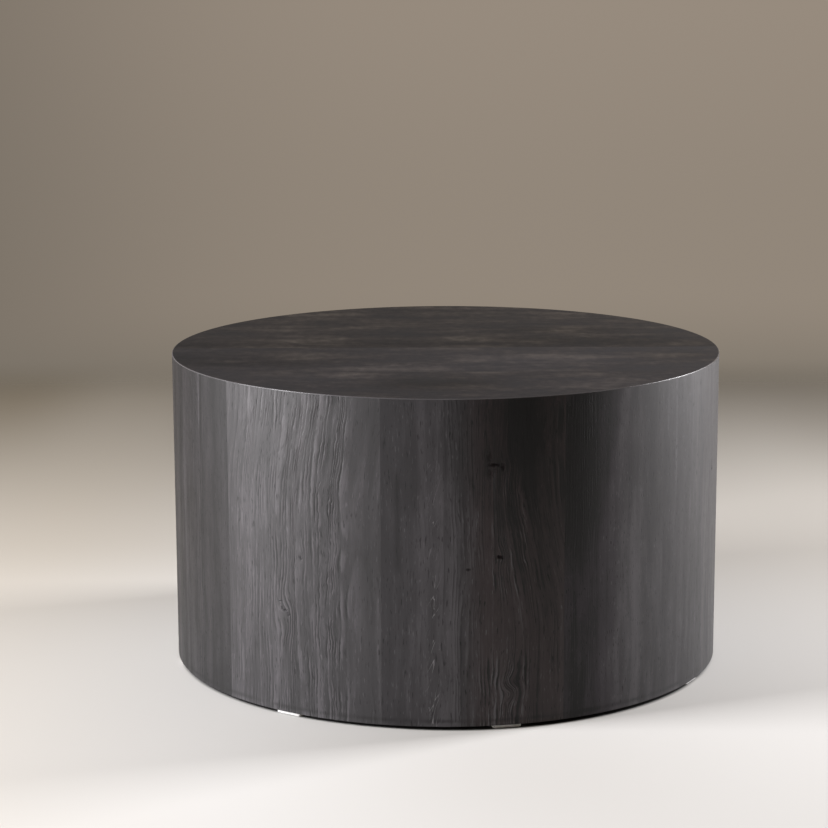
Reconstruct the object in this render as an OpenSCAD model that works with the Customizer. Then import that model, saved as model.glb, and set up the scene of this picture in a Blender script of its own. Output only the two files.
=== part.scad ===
// Round drum coffee table in black-stained oak veneer.
// The origin is on the floor under the centre, +Z up, and the front of the drum faces -Y.
// Azimuths are in degrees, 0 at the front and growing towards +X.

/* [Drum] */
// Diameter over the side veneer
drum_d = 800; // [650:10:1000]
// Height of the body, from the lower edge of the wall to the top face
body_h = 450; // [350:5:550]

/* [Veneer] */
// Thickness of the brushed oak veneer
veneer_t = 1.2; // [1.1:0.1:2.5]
// Radius of the eased edge round the top
rim_r = 1.0; // [0.3:0.1:1.0]
// Radius of the eased lower edge of the side veneer
foot_r = 0.8; // [0.3:0.1:1.0]
// Number of veneer leaves round the side
side_leaves = 10; // [8:1:12]
// Azimuth of the first joint between side leaves
leaf_joint = -13.2; // [-18:0.1:18]
// Number of veneer leaves across the top
top_leaves = 4; // [3:1:5]

/* [Top panel] */
// Thickness of the core board
core_t = 18; // [17:1:30]
// Thickness of the balancing sheet under the core
backer_t = 0.6; // [0.4:0.1:1.5]

/* [Wall] */
// Thickness of one layer of bending plywood
ply_t = 5; // [3:0.5:8]

/* [Frame] */
// Thickness of the three rings
ring_t = 18; // [18:1:25]
// Width of the rings, from the bore to the plywood
ring_w = 60; // [55:1:80]
// Number of studs between the rings
studs = 8; // [4:4:12]
// Width of a stud along the wall
stud_w = 40; // [30:1:60]
// Depth of a stud, towards the centre
stud_d = 30; // [25:1:35]
// Clearance of a notch, housing or lap round the piece in it
fit_gap = 0.2; // [0.1:0.1:0.5]

/* [Cross rails] */
// Height of the two crossing rails under the top
rail_h = 70; // [50:1:100]
// Thickness of a rail
rail_t = 22; // [18:1:30]
// Thickness of the tongue at each end of a rail
tongue_t = 9; // [6:1:10]
// Length of the tongue on the ring
tongue_l = 30; // [20:1:40]
// Leg of the glued corner blocks at the crossing
block_leg = 50; // [30:1:70]
// Height of the corner blocks
block_h = 40; // [25:1:45]

/* [Screws] */
// Diameter of the screws into the top
top_screw_d = 4; // [3.5:0.1:5]
// Length of the screws into the top
top_screw_l = 30; // [28:1:34]
// Distance of the screws into the top from the bore of the ring
top_screw_in = 30; // [15:1:40]
// Diameter of the screws into the studs
stud_screw_d = 4.5; // [4:0.1:6]
// Length of the screws into the studs
stud_screw_l = 50; // [40:1:60]
// Diameter of the screws in the rail tongues
rail_screw_d = 3.5; // [3:0.1:4]
// Length of the screws in the rail tongues
rail_screw_l = 16; // [14:1:17]
// Clearance of a screw hole round the shank
hole_gap = 0.3; // [0.1:0.1:0.6]

/* [Pads] */
// Width of a pad along the wall
pad_w = 40; // [25:1:60]
// Length of a pad, towards the centre
pad_l = 25; // [15:1:40]
// Height of a pad, which is the gap under the drum
pad_h = 5; // [3:0.5:10]
// Distance of the pads from the face of the drum
pad_inset = 5; // [2:0.5:15]
// Number of pads round the back, evenly spaced between the outer two at the front
back_pads = 5; // [3:1:6]

/* [Hidden] */
$fn = 180;
screw_fn = 36;
// How far a cutting solid runs past the face it cuts
past = 1;
// Facets of an eased edge
arris_steps = 6;
// Azimuths of the three pads at the front, which are set by hand
front_pad_at = [-34, 11.4, 62.3];
// Head diameter of a countersunk screw, in shank diameters
head_ratio = 2;
// Length of a screw's point, in shank diameters
point_ratio = 1.2;
// Room left under a screw's point in its pilot hole
point_gap = 0.4;

drum_r = drum_d / 2;
wall_r = drum_r - veneer_t;
inner_ply_r = wall_r - ply_t;
frame_r = inner_ply_r - ply_t;
ring_bore_r = frame_r - ring_w;

foot_z = pad_h;
top_z = foot_z + body_h;
core_top_z = top_z - veneer_t;
core_z = core_top_z - core_t;
backer_z = core_z - backer_t;
wall_h = backer_z - foot_z;
top_ring_z = backer_z - ring_t;
bottom_ring_top_z = foot_z + ring_t;
middle_ring_z = foot_z + (wall_h - ring_t) / 2;
rail_z = backer_z - rail_h;
tongue_z = backer_z - tongue_t;

leaf_turn = 360 / side_leaves;
top_leaf_w = drum_d / top_leaves;
stud_turn = 360 / studs;
stud_at = [for (i = [0:studs - 1]) stud_turn * (i + 0.5)];
stud_screw_r = frame_r - stud_d / 2;
// The screws into the top stand in pairs between the studs, clear of them and of the rails
top_screw_at = [for (i = [0:studs - 1]) for (side = [-1, 1]) stud_turn * (i + side / 4)];
top_screw_r = ring_bore_r + top_screw_in;
rail_end_at = [0, 90, 180, 270];
rail_screw_r = ring_bore_r + tongue_l / 2;
// The joints of the plywood halves lie on studs, the outer ones a quarter turn from the inner
inner_joint = stud_at[0];
outer_joint = inner_joint + 90;

pad_last = len(front_pad_at) - 1;
pad_arc = 360 - front_pad_at[pad_last] + front_pad_at[0];
back_pad_at = [for (i = [1:back_pads]) front_pad_at[pad_last] + pad_arc * i / (back_pads + 1)];
pad_at = concat(front_pad_at, back_pad_at);

oak = [0.17, 0.165, 0.16];
board = [0.55, 0.42, 0.3];
sheet = [0.3, 0.27, 0.24];
plywood = [0.78, 0.62, 0.43];
pine = [0.86, 0.7, 0.48];
zinc = [0.75, 0.75, 0.72];
felt = [0.95, 0.95, 0.93];

function numbered(name, count) = [for (i = [1:count]) str(name, "_", i)];

// Points of a quarter circle about a centre, from one direction to the next
function quarter(x, y, r, from) =
    [for (i = [0:arris_steps]) let (a = from + 90 * i / arris_steps) [x + r * cos(a), y + r * sin(a)]];

// Puts what is drawn at the front, on the -Y side, round at an azimuth
module at_azimuth(a) {
    rotate([0, 0, a]) children();
}

// A profile drawn in radius and height, turned from one azimuth through an angle
module turned(from, angle) {
    rotate([0, 0, from - 90]) rotate_extrude(angle = angle) children();
}

module tube(r_in, r_out, z, h) {
    rotate_extrude() translate([r_in, z]) square([r_out - r_in, h]);
}

module disc(r, z, h) {
    translate([0, 0, z]) cylinder(r = r, h = h);
}

// A box at the front, between two distances from the centre
module front_box(w, r_in, r_out, z, h) {
    translate([-w / 2, -r_out, z]) cube([w, r_out - r_in, h]);
}

// A countersunk screw that points up, with the face of its head at height 0
module screw_up(d, l) {
    rotate_extrude($fn = screw_fn) screw_profile(d, l);
}

module screw_profile(d, l) {
    head_r = head_ratio * d / 2;
    point_l = point_ratio * d;
    polygon([
        [0, 0],
        [head_r, 0],
        [d / 2, head_r - d / 2],
        [d / 2, l - point_l],
        [0, l]
    ]);
}

// The hole for such a screw: its countersink, then a clearance hole as deep as the piece it holds
module screw_hole_up(d, grip) {
    head_r = head_ratio * d / 2;
    hole_r = d / 2 + hole_gap;
    rotate_extrude($fn = screw_fn) polygon([
        [0, -past],
        [head_r, -past],
        [head_r, 0],
        [hole_r, head_r - hole_r],
        [hole_r, grip + past],
        [0, grip + past]
    ]);
}

// The pilot hole in the piece that a screw bites into, from its face up
module pilot_up(d, depth) {
    translate([0, 0, -past]) cylinder(d = d, h = depth + point_gap + past, $fn = screw_fn);
}

// Places at the azimuths given, at a distance from the centre and a height
module round_at(azimuths, r, z) {
    for (a = azimuths) at_azimuth(a) translate([0, -r, z]) children();
}

module turned_down() {
    mirror([0, 0, 1]) children();
}

// Leaves run along X, the first at the front
module top_veneer(i) {
    front_y = -drum_r + (i - 1) * top_leaf_w;
    color(oak) intersection() {
        rotate_extrude() polygon(concat(
            [[0, core_top_z], [drum_r, core_top_z]],
            quarter(drum_r - rim_r, top_z - rim_r, rim_r, 0),
            [[0, top_z]]
        ));
        translate([-drum_r - past, front_y, core_top_z - past])
            cube([drum_d + 2 * past, top_leaf_w, veneer_t + 2 * past]);
    }
}

module top_core() {
    color(board) difference() {
        disc(wall_r, core_z, core_t);
        round_at(top_screw_at, top_screw_r, core_z)
            pilot_up(top_screw_d, top_screw_l - ring_t - backer_t);
    }
}

module top_backer() {
    color(sheet) difference() {
        disc(wall_r, backer_z, backer_t);
        round_at(top_screw_at, top_screw_r, backer_z - past)
            cylinder(d = top_screw_d, h = backer_t + 2 * past, $fn = screw_fn);
    }
}

// The leaves run from the foot up over the edge of the core, to the underside of the top veneer
module side_veneer(i) {
    color(oak) turned(leaf_joint + (i - 1) * leaf_turn, leaf_turn) polygon(concat(
        [[wall_r, core_top_z], [wall_r, foot_z]],
        quarter(drum_r - foot_r, foot_z + foot_r, foot_r, -90),
        [[drum_r, core_top_z]]
    ));
}

module ply_half(r_out, joint, i) {
    color(plywood) turned(joint + (i - 1) * 180, 180)
        translate([r_out - ply_t, foot_z]) square([ply_t, wall_h]);
}

module ring(z) {
    tube(ring_bore_r, frame_r, z, ring_t);
}

// Studs are shaped to the plywood on their outer face
module stud_bar(z, h) {
    intersection() {
        front_box(stud_w, frame_r - stud_d, frame_r + past, z, h);
        disc(frame_r, z, h);
    }
}

module top_ring() {
    color(board) difference() {
        ring(top_ring_z);
        for (a = rail_end_at) at_azimuth(a) front_box(
            rail_t + 2 * fit_gap,
            ring_bore_r - past,
            ring_bore_r + tongue_l + fit_gap,
            tongue_z,
            tongue_t + past
        );
        round_at(top_screw_at, top_screw_r, top_ring_z) screw_hole_up(top_screw_d, ring_t);
        round_at(stud_at, stud_screw_r, backer_z) turned_down() screw_hole_up(stud_screw_d, ring_t);
        round_at(rail_end_at, rail_screw_r, tongue_z) turned_down()
            pilot_up(rail_screw_d, rail_screw_l - tongue_t);
    }
}

module middle_ring() {
    color(board) difference() {
        ring(middle_ring_z);
        for (a = stud_at) at_azimuth(a) front_box(
            stud_w + 2 * fit_gap,
            frame_r - stud_d - fit_gap,
            frame_r + past,
            middle_ring_z - past,
            ring_t + 2 * past
        );
    }
}

module bottom_ring() {
    color(board) difference() {
        ring(foot_z);
        round_at(stud_at, stud_screw_r, foot_z) screw_hole_up(stud_screw_d, ring_t);
    }
}

module stud(i) {
    bite = stud_screw_l - ring_t;
    color(pine) at_azimuth(stud_at[i - 1]) difference() {
        stud_bar(bottom_ring_top_z, top_ring_z - bottom_ring_top_z);
        translate([0, -stud_screw_r, bottom_ring_top_z]) pilot_up(stud_screw_d, bite);
        translate([0, -stud_screw_r, top_ring_z]) turned_down() pilot_up(stud_screw_d, bite);
    }
}

// A rail along Y: its shoulders follow the bore of the ring, and its tongues lie on the ring
module rail_blank() {
    end_r = ring_bore_r + tongue_l;
    difference() {
        union() {
            intersection() {
                front_box(rail_t, -ring_bore_r, ring_bore_r, rail_z, rail_h);
                disc(ring_bore_r - fit_gap, rail_z, rail_h);
            }
            front_box(rail_t, -end_r, end_r, tongue_z, tongue_t);
        }
        for (a = [0, 180]) at_azimuth(a) translate([0, -rail_screw_r, backer_z])
            turned_down() screw_hole_up(rail_screw_d, tongue_t);
    }
}

// The half lap takes the upper half of one rail and the lower half of the other
module lap(z) {
    lap_w = rail_t + 2 * fit_gap;
    translate([-rail_t / 2 - past, -lap_w / 2, z]) cube([rail_t + 2 * past, lap_w, rail_h / 2 + past]);
}

module rail_y() {
    color(pine) difference() {
        rail_blank();
        lap(rail_z - past);
    }
}

module rail_x() {
    color(pine) at_azimuth(90) difference() {
        rail_blank();
        lap(rail_z + rail_h / 2);
    }
}

module corner_block(i) {
    corner = rail_t / 2;
    color(pine) at_azimuth(90 * (i - 1)) translate([corner, corner, backer_z - block_h])
        linear_extrude(block_h) polygon([[0, 0], [block_leg, 0], [0, block_leg]]);
}

module top_screws() {
    color(zinc) round_at(top_screw_at, top_screw_r, top_ring_z) screw_up(top_screw_d, top_screw_l);
}

module stud_screws() {
    color(zinc) {
        round_at(stud_at, stud_screw_r, foot_z) screw_up(stud_screw_d, stud_screw_l);
        round_at(stud_at, stud_screw_r, backer_z) turned_down() screw_up(stud_screw_d, stud_screw_l);
    }
}

module rail_screws() {
    color(zinc) round_at(rail_end_at, rail_screw_r, backer_z)
        turned_down() screw_up(rail_screw_d, rail_screw_l);
}

module felt_pad(i) {
    pad_r = drum_r - pad_inset;
    color(felt) at_azimuth(pad_at[i - 1]) front_box(pad_w, pad_r - pad_l, pad_r, 0, pad_h);
}

for (i = [1:top_leaves]) top_veneer(i);
top_core();
top_backer();
for (i = [1:side_leaves]) side_veneer(i);
for (i = [1:2]) ply_half(wall_r, outer_joint, i);
for (i = [1:2]) ply_half(inner_ply_r, inner_joint, i);
top_ring();
middle_ring();
bottom_ring();
for (i = [1:studs]) stud(i);
rail_x();
rail_y();
for (i = [1:4]) corner_block(i);
top_screws();
stud_screws();
rail_screws();
for (i = [1:len(pad_at)]) felt_pad(i);
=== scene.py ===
import math
from dataclasses import dataclass, field

import bmesh
import bpy
from mathutils import Matrix, Vector


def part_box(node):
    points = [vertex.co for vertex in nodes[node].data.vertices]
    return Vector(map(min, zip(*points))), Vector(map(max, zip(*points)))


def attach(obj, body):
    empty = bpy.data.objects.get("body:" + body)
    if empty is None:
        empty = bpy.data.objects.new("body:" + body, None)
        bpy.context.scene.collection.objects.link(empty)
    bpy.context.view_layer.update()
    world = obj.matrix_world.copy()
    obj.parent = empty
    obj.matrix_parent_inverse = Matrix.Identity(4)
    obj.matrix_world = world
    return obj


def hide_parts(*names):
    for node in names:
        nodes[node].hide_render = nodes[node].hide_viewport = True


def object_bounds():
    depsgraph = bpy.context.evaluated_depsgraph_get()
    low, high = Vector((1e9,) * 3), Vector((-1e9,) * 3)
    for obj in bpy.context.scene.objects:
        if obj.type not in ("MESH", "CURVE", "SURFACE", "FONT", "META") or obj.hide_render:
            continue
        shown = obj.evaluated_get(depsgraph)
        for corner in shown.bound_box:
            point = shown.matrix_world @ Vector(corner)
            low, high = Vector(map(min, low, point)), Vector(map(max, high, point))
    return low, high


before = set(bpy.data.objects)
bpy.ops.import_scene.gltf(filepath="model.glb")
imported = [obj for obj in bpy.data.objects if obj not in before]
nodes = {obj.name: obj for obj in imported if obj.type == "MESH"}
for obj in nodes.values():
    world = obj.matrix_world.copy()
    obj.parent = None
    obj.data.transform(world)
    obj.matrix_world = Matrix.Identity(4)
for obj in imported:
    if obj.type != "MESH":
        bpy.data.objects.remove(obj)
cad_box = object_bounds()

# Sizes of the drum, in metres, read from the frame
DRUM_R = cad_box[1][0]
TOP_Z = cad_box[1][2]
FOOT_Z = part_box("side_veneer_1")[0].z
CORE_TOP_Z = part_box("top_core")[1].z
WALL_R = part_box("top_core")[1].x
VENEER = TOP_Z - CORE_TOP_Z
RIM_ROUND = 0.0010
FOOT_ROUND = 0.0008
MM = 1000.0
GRAIN_MAP = "grain"


# Node graphs

# A Mix node's inputs for the share and the two colours, and its output for a colour
MIX_INPUTS = (0, 6, 7)
MIX_OUTPUT = 2


class Graph:
    """Builds the nodes of a material or a world from short expressions. A value is a socket or a number."""

    def __init__(self, name, world=None):
        self.material = world or bpy.data.materials.new(name)
        self.material.use_nodes = True
        self.tree = self.material.node_tree
        self.shader = self.tree.nodes["Background" if world else "Principled BSDF"]

    def node(self, kind, **settings):
        made = self.tree.nodes.new("ShaderNode" + kind)
        for name, value in settings.items():
            setattr(made, name, value)
        return made

    def feed(self, socket, value):
        if isinstance(value, bpy.types.NodeSocket):
            self.tree.links.new(value, socket)
        else:
            socket.default_value = value

    def give(self, name, value):
        """The shader takes a value in the socket of that name."""
        self.feed(self.shader.inputs[name], value)

    def math(self, operation, *values):
        made = self.node("Math", operation=operation)
        for socket, value in zip(made.inputs, values):
            self.feed(socket, value)
        return made.outputs[0]

    def add(self, *values):
        total = values[0]
        for value in values[1:]:
            total = self.math("ADD", total, value)
        return total

    def sub(self, a, b):
        return self.math("SUBTRACT", a, b)

    def mul(self, *values):
        product = values[0]
        for value in values[1:]:
            product = self.math("MULTIPLY", product, value)
        return product

    def madd(self, value, factor, addend):
        return self.math("MULTIPLY_ADD", value, factor, addend)

    def hypot(self, a, b):
        return self.math("SQRT", self.add(self.mul(a, a), self.mul(b, b)))

    def ramp(self, value, low, high, to_low=0.0, to_high=1.0):
        """A smooth step from low to high."""
        made = self.node("MapRange", interpolation_type="SMOOTHSTEP")
        for socket, given in zip(made.inputs, (value, low, high, to_low, to_high)):
            self.feed(socket, given)
        return made.outputs[0]

    def pulse(self, value, rise, top, fall, end):
        """A smooth step up from rise to top, and down again from fall to end."""
        return self.mul(self.ramp(value, rise, top), self.ramp(value, fall, end, 1.0, 0.0))

    def bell(self, *scaled):
        """A bell round a point, from its distances along each axis over the bell's width."""
        squares = self.add(*[self.mul(d, d) for d in scaled])
        return self.math("EXPONENT", self.mul(squares, -1.0))

    def point(self, x, y, z=0.0):
        made = self.node("CombineXYZ")
        for socket, value in zip(made.inputs, (x, y, z)):
            self.feed(socket, value)
        return made.outputs[0]

    def split(self, vector):
        made = self.node("SeparateXYZ")
        self.feed(made.inputs[0], vector)
        return list(made.outputs)

    def noise(self, x, y, z=0.0, detail=2.0, roughness=0.5, distortion=0.0):
        """Smooth noise about 0, within about -0.5 to 0.5, at a point given in units of its own grain."""
        made = self.node("TexNoise")
        self.feed(made.inputs["Vector"], self.point(x, y, z))
        kind = {"Scale": 1.0, "Detail": detail, "Roughness": roughness, "Distortion": distortion}
        for name, value in kind.items():
            made.inputs[name].default_value = value
        return self.sub(made.outputs["Fac"], 0.5)

    def grain(self, x, y, layer, seed=0.0, **kind):
        """Noise on a leaf. The layer gives its repeats per millimetre across and along, and its shift."""
        across, along, shift = layer
        return self.noise(self.mul(x, across), self.mul(y, along), seed + shift, **kind)

    def solid(self, place, repeats, **kind):
        """Noise in the solid, with its repeats per millimetre along each axis of the place."""
        return self.noise(*[self.mul(axis, r) for axis, r in zip(place, repeats)], **kind)

    def mix(self, share, low, high):
        """A colour between two, by a share from 0 to 1."""
        made = self.node("Mix", data_type="RGBA", clamp_factor=True)
        for i, value in zip(MIX_INPUTS, (share, low, high)):
            self.feed(made.inputs[i], value)
        return made.outputs[MIX_OUTPUT]

    def map_mm(self):
        """The piece's grain map: millimetres across the grain and along it."""
        across, along, _ = self.split(self.node("UVMap", uv_map=GRAIN_MAP).outputs["UV"])
        return self.mul(across, MM), self.mul(along, MM)

    def place_mm(self):
        """The point's own place in millimetres."""
        return [self.mul(axis, MM) for axis in self.split(self.node("TexCoord").outputs["Object"])]

    def surface(self, colour, rough, relief):
        """The material with this colour and roughness, and a relief in millimetres."""
        bump = self.node("Bump")
        bump.inputs["Strength"].default_value = 1.0
        bump.inputs["Distance"].default_value = 1.0 / MM
        self.feed(bump.inputs["Height"], relief)
        self.give("Base Color", colour)
        self.give("Roughness", rough)
        self.give("Normal", bump.outputs["Normal"])
        return self.material


def rgb(r, g, b):
    return (r, g, b, 1.0)


def evenly(repeats):
    return (repeats, repeats, repeats)


# Black-stained oak. On a leaf, x is the place across the grain from its middle and y the place along it, in
# millimetres: on the wall the height over the floor, on the top the place along X.

AWAY = 500.0


@dataclass
class Knot:
    """A knot's place, the half width and half height of its core, and how dark that is. Part is how far the
    grain parts round it, turn how far it curls in radians, and wide and long are how far both reach."""
    x: float
    y: float
    core: float
    tall: float
    wide: float = 12.0
    long: float = 26.0
    part: float = 0.0
    turn: float = 0.0
    dark: float = 1.0


@dataclass
class Streak:
    """A darker or paler stripe along the grain: its place across, half width, depth of tone, and where along
    the leaf it runs. Lean is its slope. With an edge it is flat across, with sides that wide. End is the
    softness of its ends, and dull how much less it reflects."""
    x: float
    half: float
    tone: float
    low: float = -AWAY
    high: float = AWAY
    lean: float = 0.0
    edge: float = 0.0
    end: float = 12.0
    dull: float = 0.0


@dataclass
class Zone:
    """A part of a leaf where the rings stand out: its middle and half width across, the width of its edge,
    how strong the rings are, and where along the leaf it lies."""
    x: float
    half: float
    edge: float
    strength: float = 1.0
    low: float = -AWAY
    high: float = AWAY


@dataclass
class Leaf:
    """How one leaf of veneer was cut and stained.

    heart, depth, taper: the axis of its flame, how deep the cut runs there, and how fast the flame narrows
    ring: the width of a year's ring
    sway, ripple: the strength of the grain's long bends and of its short ones
    figured, plain: the zones where the rings stand out, and how strong they are elsewhere
    bend: how far the grain is pushed aside, and between which places along it and across it
    tone, gloss, seed: its darkness, sheen, and place in the noise
    rays: the middle and half width of a band of ray flecks
    rim: whether it has a share of the eased rim, with the rim's painted highlight
    broad, wide, short: how strong the broad bands are, how wide and how short
    lip, run: how strong the rings' hard lips are, and how short the fibres
    fibre: how much stronger the fibres are outside the figured zones
    polish: how much smoother the pale bands are
    hue: between which places across another stain sets in, and that stain
    """
    heart: float
    depth: float
    taper: float
    ring: float = 5.0
    sway: float = 1.0
    ripple: float = 1.0
    figured: list = field(default_factory=lambda: [Zone(0.0, 60.0, 30.0)])
    plain: float = 0.15
    bend: tuple = ()
    tone: float = 0.0
    seed: float = 0.0
    gloss: float = 0.5
    knots: list = field(default_factory=list)
    streaks: list = field(default_factory=list)
    rays: tuple = ()
    rim: bool = False
    broad: float = 1.0
    wide: float = 1.0
    short: float = 1.0
    lip: float = 0.9
    run: float = 1.0
    fibre: float = 0.0
    polish: float = 0.0
    hue: tuple = ()


STAIN_DEEP = rgb(0.0030, 0.0028, 0.0031)
STAIN_MID = rgb(0.0182, 0.0168, 0.0186)
STAIN_WARM = rgb(0.0222, 0.0146, 0.0156)
STAIN_COOL = rgb(0.0180, 0.0174, 0.0208)
STAIN_PLUM = rgb(0.0208, 0.0160, 0.0216)
STAIN_PALE = rgb(0.0600, 0.0560, 0.0610)
# The eased rim's pale colour is a painted highlight
RIM_PAINTED_HIGHLIGHT = rgb(0.105, 0.100, 0.105)
RAY_PALE = rgb(0.140, 0.135, 0.140)

# Layers of the grain: repeats per millimetre across it and along it, and their place in the noise
SWAY_SLOW = (0.011, 0.0028, 0.0)
SWAY_QUICK = (0.035, 0.012, 3.0)
RIPPLE_BROAD = (0.07, 0.040, 4.0)
RIPPLE_FINE = (0.20, 0.10, 6.0)
RING_UNEVEN = (0.055, 0.0012, 7.0)
RING_VARIED = (0.37, 0.022, 9.0)
STRAY = (0.02, 0.007, 10.0)
FINE = (1.0, 0.05, 17.0)
DASH = (0.55, 0.07, 19.0)
BRUSH = (0.32, 0.032, 23.0)
STRAND = (0.13, 0.011, 27.0)
PATCH = (0.03, 0.009, 29.0)
BAND = (0.05, 0.0012, 31.0)
KNOT_RAGGED = (0.30, 0.30, 41.0)
RAY_LINE = (0.15, 0.020, 53.0)
RAY_GAPS = (0.05, 0.045, 57.0)

# Layers that vary along the grain: repeats per millimetre along it and across it, and their place
STREAK_WAVER = (0.03, 0.004, 33.0)
DEPTH_WANDER = (0.006, 5.0)
RAY_WANDER = (0.008, 59.0)

# How far the layers push the grain, the cut's depth and the rays, in millimetres
PUSH_SLOW = 26.0
PUSH_QUICK = 9.0
PUSH_RIPPLE = 4.5
PUSH_DEPTH = 12.0
PUSH_RAYS = 14.0

# Where in a year's ring, from 0 to 1, its groove and its lip rise and fall
GROOVE = (0.0, 0.12, 0.16, 0.48)
LIP = (0.55, 0.92, 0.94, 1.0)

ZONE_END = 20.0
STRAY_SHARE = 0.8
STRAY_WIDEST = 20.0
RAY_LEAN = 0.30
KNOT_CORE = (0.12, 0.95)
KNOT_LIP = (0.03, 0.12, 0.12, 0.22)
# Heights in millimetres of a painted highlight just above the foot, and of a line of painted shade over it
FOOT_HIGHLIGHT_Y = 7.5
FOOT_SHADE_Y = 13.0
TONE_MIDDLE = 0.46
ROUGH_MIDDLE = 0.55


def stretched(layer, wide=1.0, short=1.0):
    """A layer of the grain drawn out across, and shortened along."""
    across, along, shift = layer
    return across / wide, along * short, shift


def plateau(g, off, half, edge, strength=1.0):
    """Flat within a half width, with soft edges."""
    return g.ramp(off, half - 0.5 * edge, half + 0.5 * edge, strength, 0.0)


def between(g, share, y, part, end):
    """Keeps a share to where a streak or zone runs along the leaf, with ends that soft."""
    if part.low > -AWAY:
        share = g.mul(share, g.ramp(y, part.low - end, part.low + end))
    if part.high < AWAY:
        share = g.mul(share, g.ramp(y, part.high - end, part.high + end, 1.0, 0.0))
    return share


def figured_area(g, leaf, x, y):
    """How strongly the rings stand out: in the leaf's zones, and a little elsewhere."""
    stray = g.grain(x, y, STRAY, leaf.seed)
    area = leaf.plain
    for zone in leaf.figured:
        off = g.madd(stray, STRAY_SHARE * zone.edge, g.math("ABSOLUTE", g.sub(x, zone.x)))
        within = between(g, plateau(g, off, zone.half, zone.edge, zone.strength), y, zone, ZONE_END)
        area = g.math("MAXIMUM", area, within)
    return area


def swayed(g, leaf, x0, y, area):
    """The place across a grain that sways slowly, ripples where it is figured, and may bend aside."""
    x = g.madd(g.grain(x0, y, SWAY_SLOW, leaf.seed), PUSH_SLOW * leaf.sway, x0)
    x = g.madd(g.grain(x0, y, SWAY_QUICK, leaf.seed), PUSH_QUICK * leaf.sway, x)
    ripple = g.madd(g.grain(x0, y, RIPPLE_FINE, leaf.seed), 0.3, g.grain(x0, y, RIPPLE_BROAD, leaf.seed))
    x = g.madd(ripple, g.mul(area, PUSH_RIPPLE * leaf.ripple), x)
    if leaf.bend:
        shift, low, high, left, right = leaf.bend
        x = g.sub(x, g.mul(g.ramp(y, low, high, 0.0, shift), g.ramp(x0, left, right)))
    return x


def knot_core(g, knot, dx, dy, ragged):
    """A ragged bell over a knot's dark heart."""
    across = g.madd(dx, 1.0 / knot.core, ragged)
    along = g.madd(dy, 1.0 / knot.tall, g.mul(ragged, -0.8))
    return g.mul(g.bell(across, along), knot.dark)


def round_knots(g, leaf, x, x0, y):
    """The place across a grain that parts or curls round the knots, how deep in a knot's heart the point is,
    and how far the wood swells there."""
    heart = 0.0
    swell = 0.0
    if leaf.knots:
        ragged = g.mul(g.grain(x0, y, KNOT_RAGGED, leaf.seed), 1.8)
    for knot in leaf.knots:
        dx = g.sub(x0, knot.x)
        dy = g.sub(y, knot.y)
        if knot.part or knot.turn:
            near = g.bell(g.mul(dx, 1.0 / knot.wide), g.mul(dy, 1.0 / knot.long))
            pull = g.mul(g.sub(x, knot.x), -knot.part)
            if knot.turn:
                pull = g.madd(dy, knot.turn, pull)
            x = g.madd(pull, near, x)
            swell = g.math("MAXIMUM", swell, near)
        if knot.core:
            heart = g.math("MAXIMUM", heart, knot_core(g, knot, dx, dy, ragged))
    return x, heart, swell


def ring_ridge(g, leaf, x, y, area):
    """Height of the growth rings, cut near the pith, so that their lines close into a flame along the heart.
    Each ring starts with a groove of open pores and ends in a hard lip."""
    repeats, shift = DEPTH_WANDER
    wander = g.mul(g.noise(g.mul(y, repeats), leaf.seed + shift), PUSH_DEPTH)
    ring = g.hypot(g.sub(x, leaf.heart), g.add(leaf.depth, g.mul(y, leaf.taper), wander))
    uneven = g.grain(ring, y, RING_UNEVEN, leaf.seed, detail=1.0, roughness=0.6)
    turns = g.madd(ring, 1.0 / leaf.ring, g.mul(uneven, 6.0))
    phase = g.math("FRACT", turns)
    groove = g.mul(g.pulse(phase, *GROOVE), 1.7 - leaf.lip)
    lip = g.mul(g.pulse(phase, *LIP), leaf.lip)
    varied = g.ramp(g.grain(turns, y, RING_VARIED, leaf.seed, detail=1.0), -0.14, 0.16, 0.15, 1.0)
    return g.mul(g.sub(lip, groove), varied, area)


def fibre_layers(g, leaf, x, y, area):
    """Fibres, pores as dashes along the grain, and broad bands that took the stain differently."""
    seed = leaf.seed
    fine = g.grain(x, y, stretched(FINE, short=leaf.run), seed, roughness=0.6)
    brush = g.grain(x, y, stretched(BRUSH, short=leaf.run), seed, detail=3.0, roughness=0.6)
    dash = g.grain(x, y, stretched(DASH, short=leaf.run), seed, detail=1.0)
    sparse = g.madd(area, 0.3, 0.75)
    return {
        "fine": g.mul(fine, g.madd(area, 0.78, 0.22 + leaf.fibre)),
        "brush": g.mul(brush, g.madd(area, 0.78, 0.22 + 0.6 * leaf.fibre)),
        "pores": g.mul(g.ramp(dash, 0.13, 0.25), sparse),
        "flecks": g.mul(g.ramp(dash, -0.24, -0.15, 1.0, 0.0), sparse),
        "strand": g.grain(x, y, stretched(STRAND, leaf.wide, leaf.short), seed),
        "patch": g.grain(x, y, PATCH, seed),
        "band": g.grain(x, y, stretched(BAND, leaf.wide, leaf.short), seed, detail=1.0),
    }


def stripe(g, streak, x, y, waver):
    """Share of a stripe along the grain, with soft sides and ends."""
    stray = STRAY_SHARE * min(streak.half, STRAY_WIDEST)
    place = g.madd(waver, stray, g.sub(x, streak.x))
    if streak.lean:
        middle = 0.5 * (streak.low + streak.high)
        place = g.madd(g.sub(y, middle), -streak.lean, place)
    if streak.edge:
        share = plateau(g, g.math("ABSOLUTE", place), streak.half, streak.edge)
    else:
        share = g.bell(g.mul(place, 1.0 / streak.half))
    return between(g, share, y, streak, streak.end)


def streaked(g, leaf, x, y):
    """Tone that the leaf's streaks add, and the share of its sheen that they leave."""
    tone = 0.0
    shine = 1.0
    if leaf.streaks:
        waver = g.grain(y, x, STREAK_WAVER, leaf.seed)
    for streak in leaf.streaks:
        share = stripe(g, streak, x, y, waver)
        tone = g.madd(share, streak.tone, tone)
        if streak.dull:
            shine = g.madd(share, -streak.dull, shine)
    return tone, shine


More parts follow.
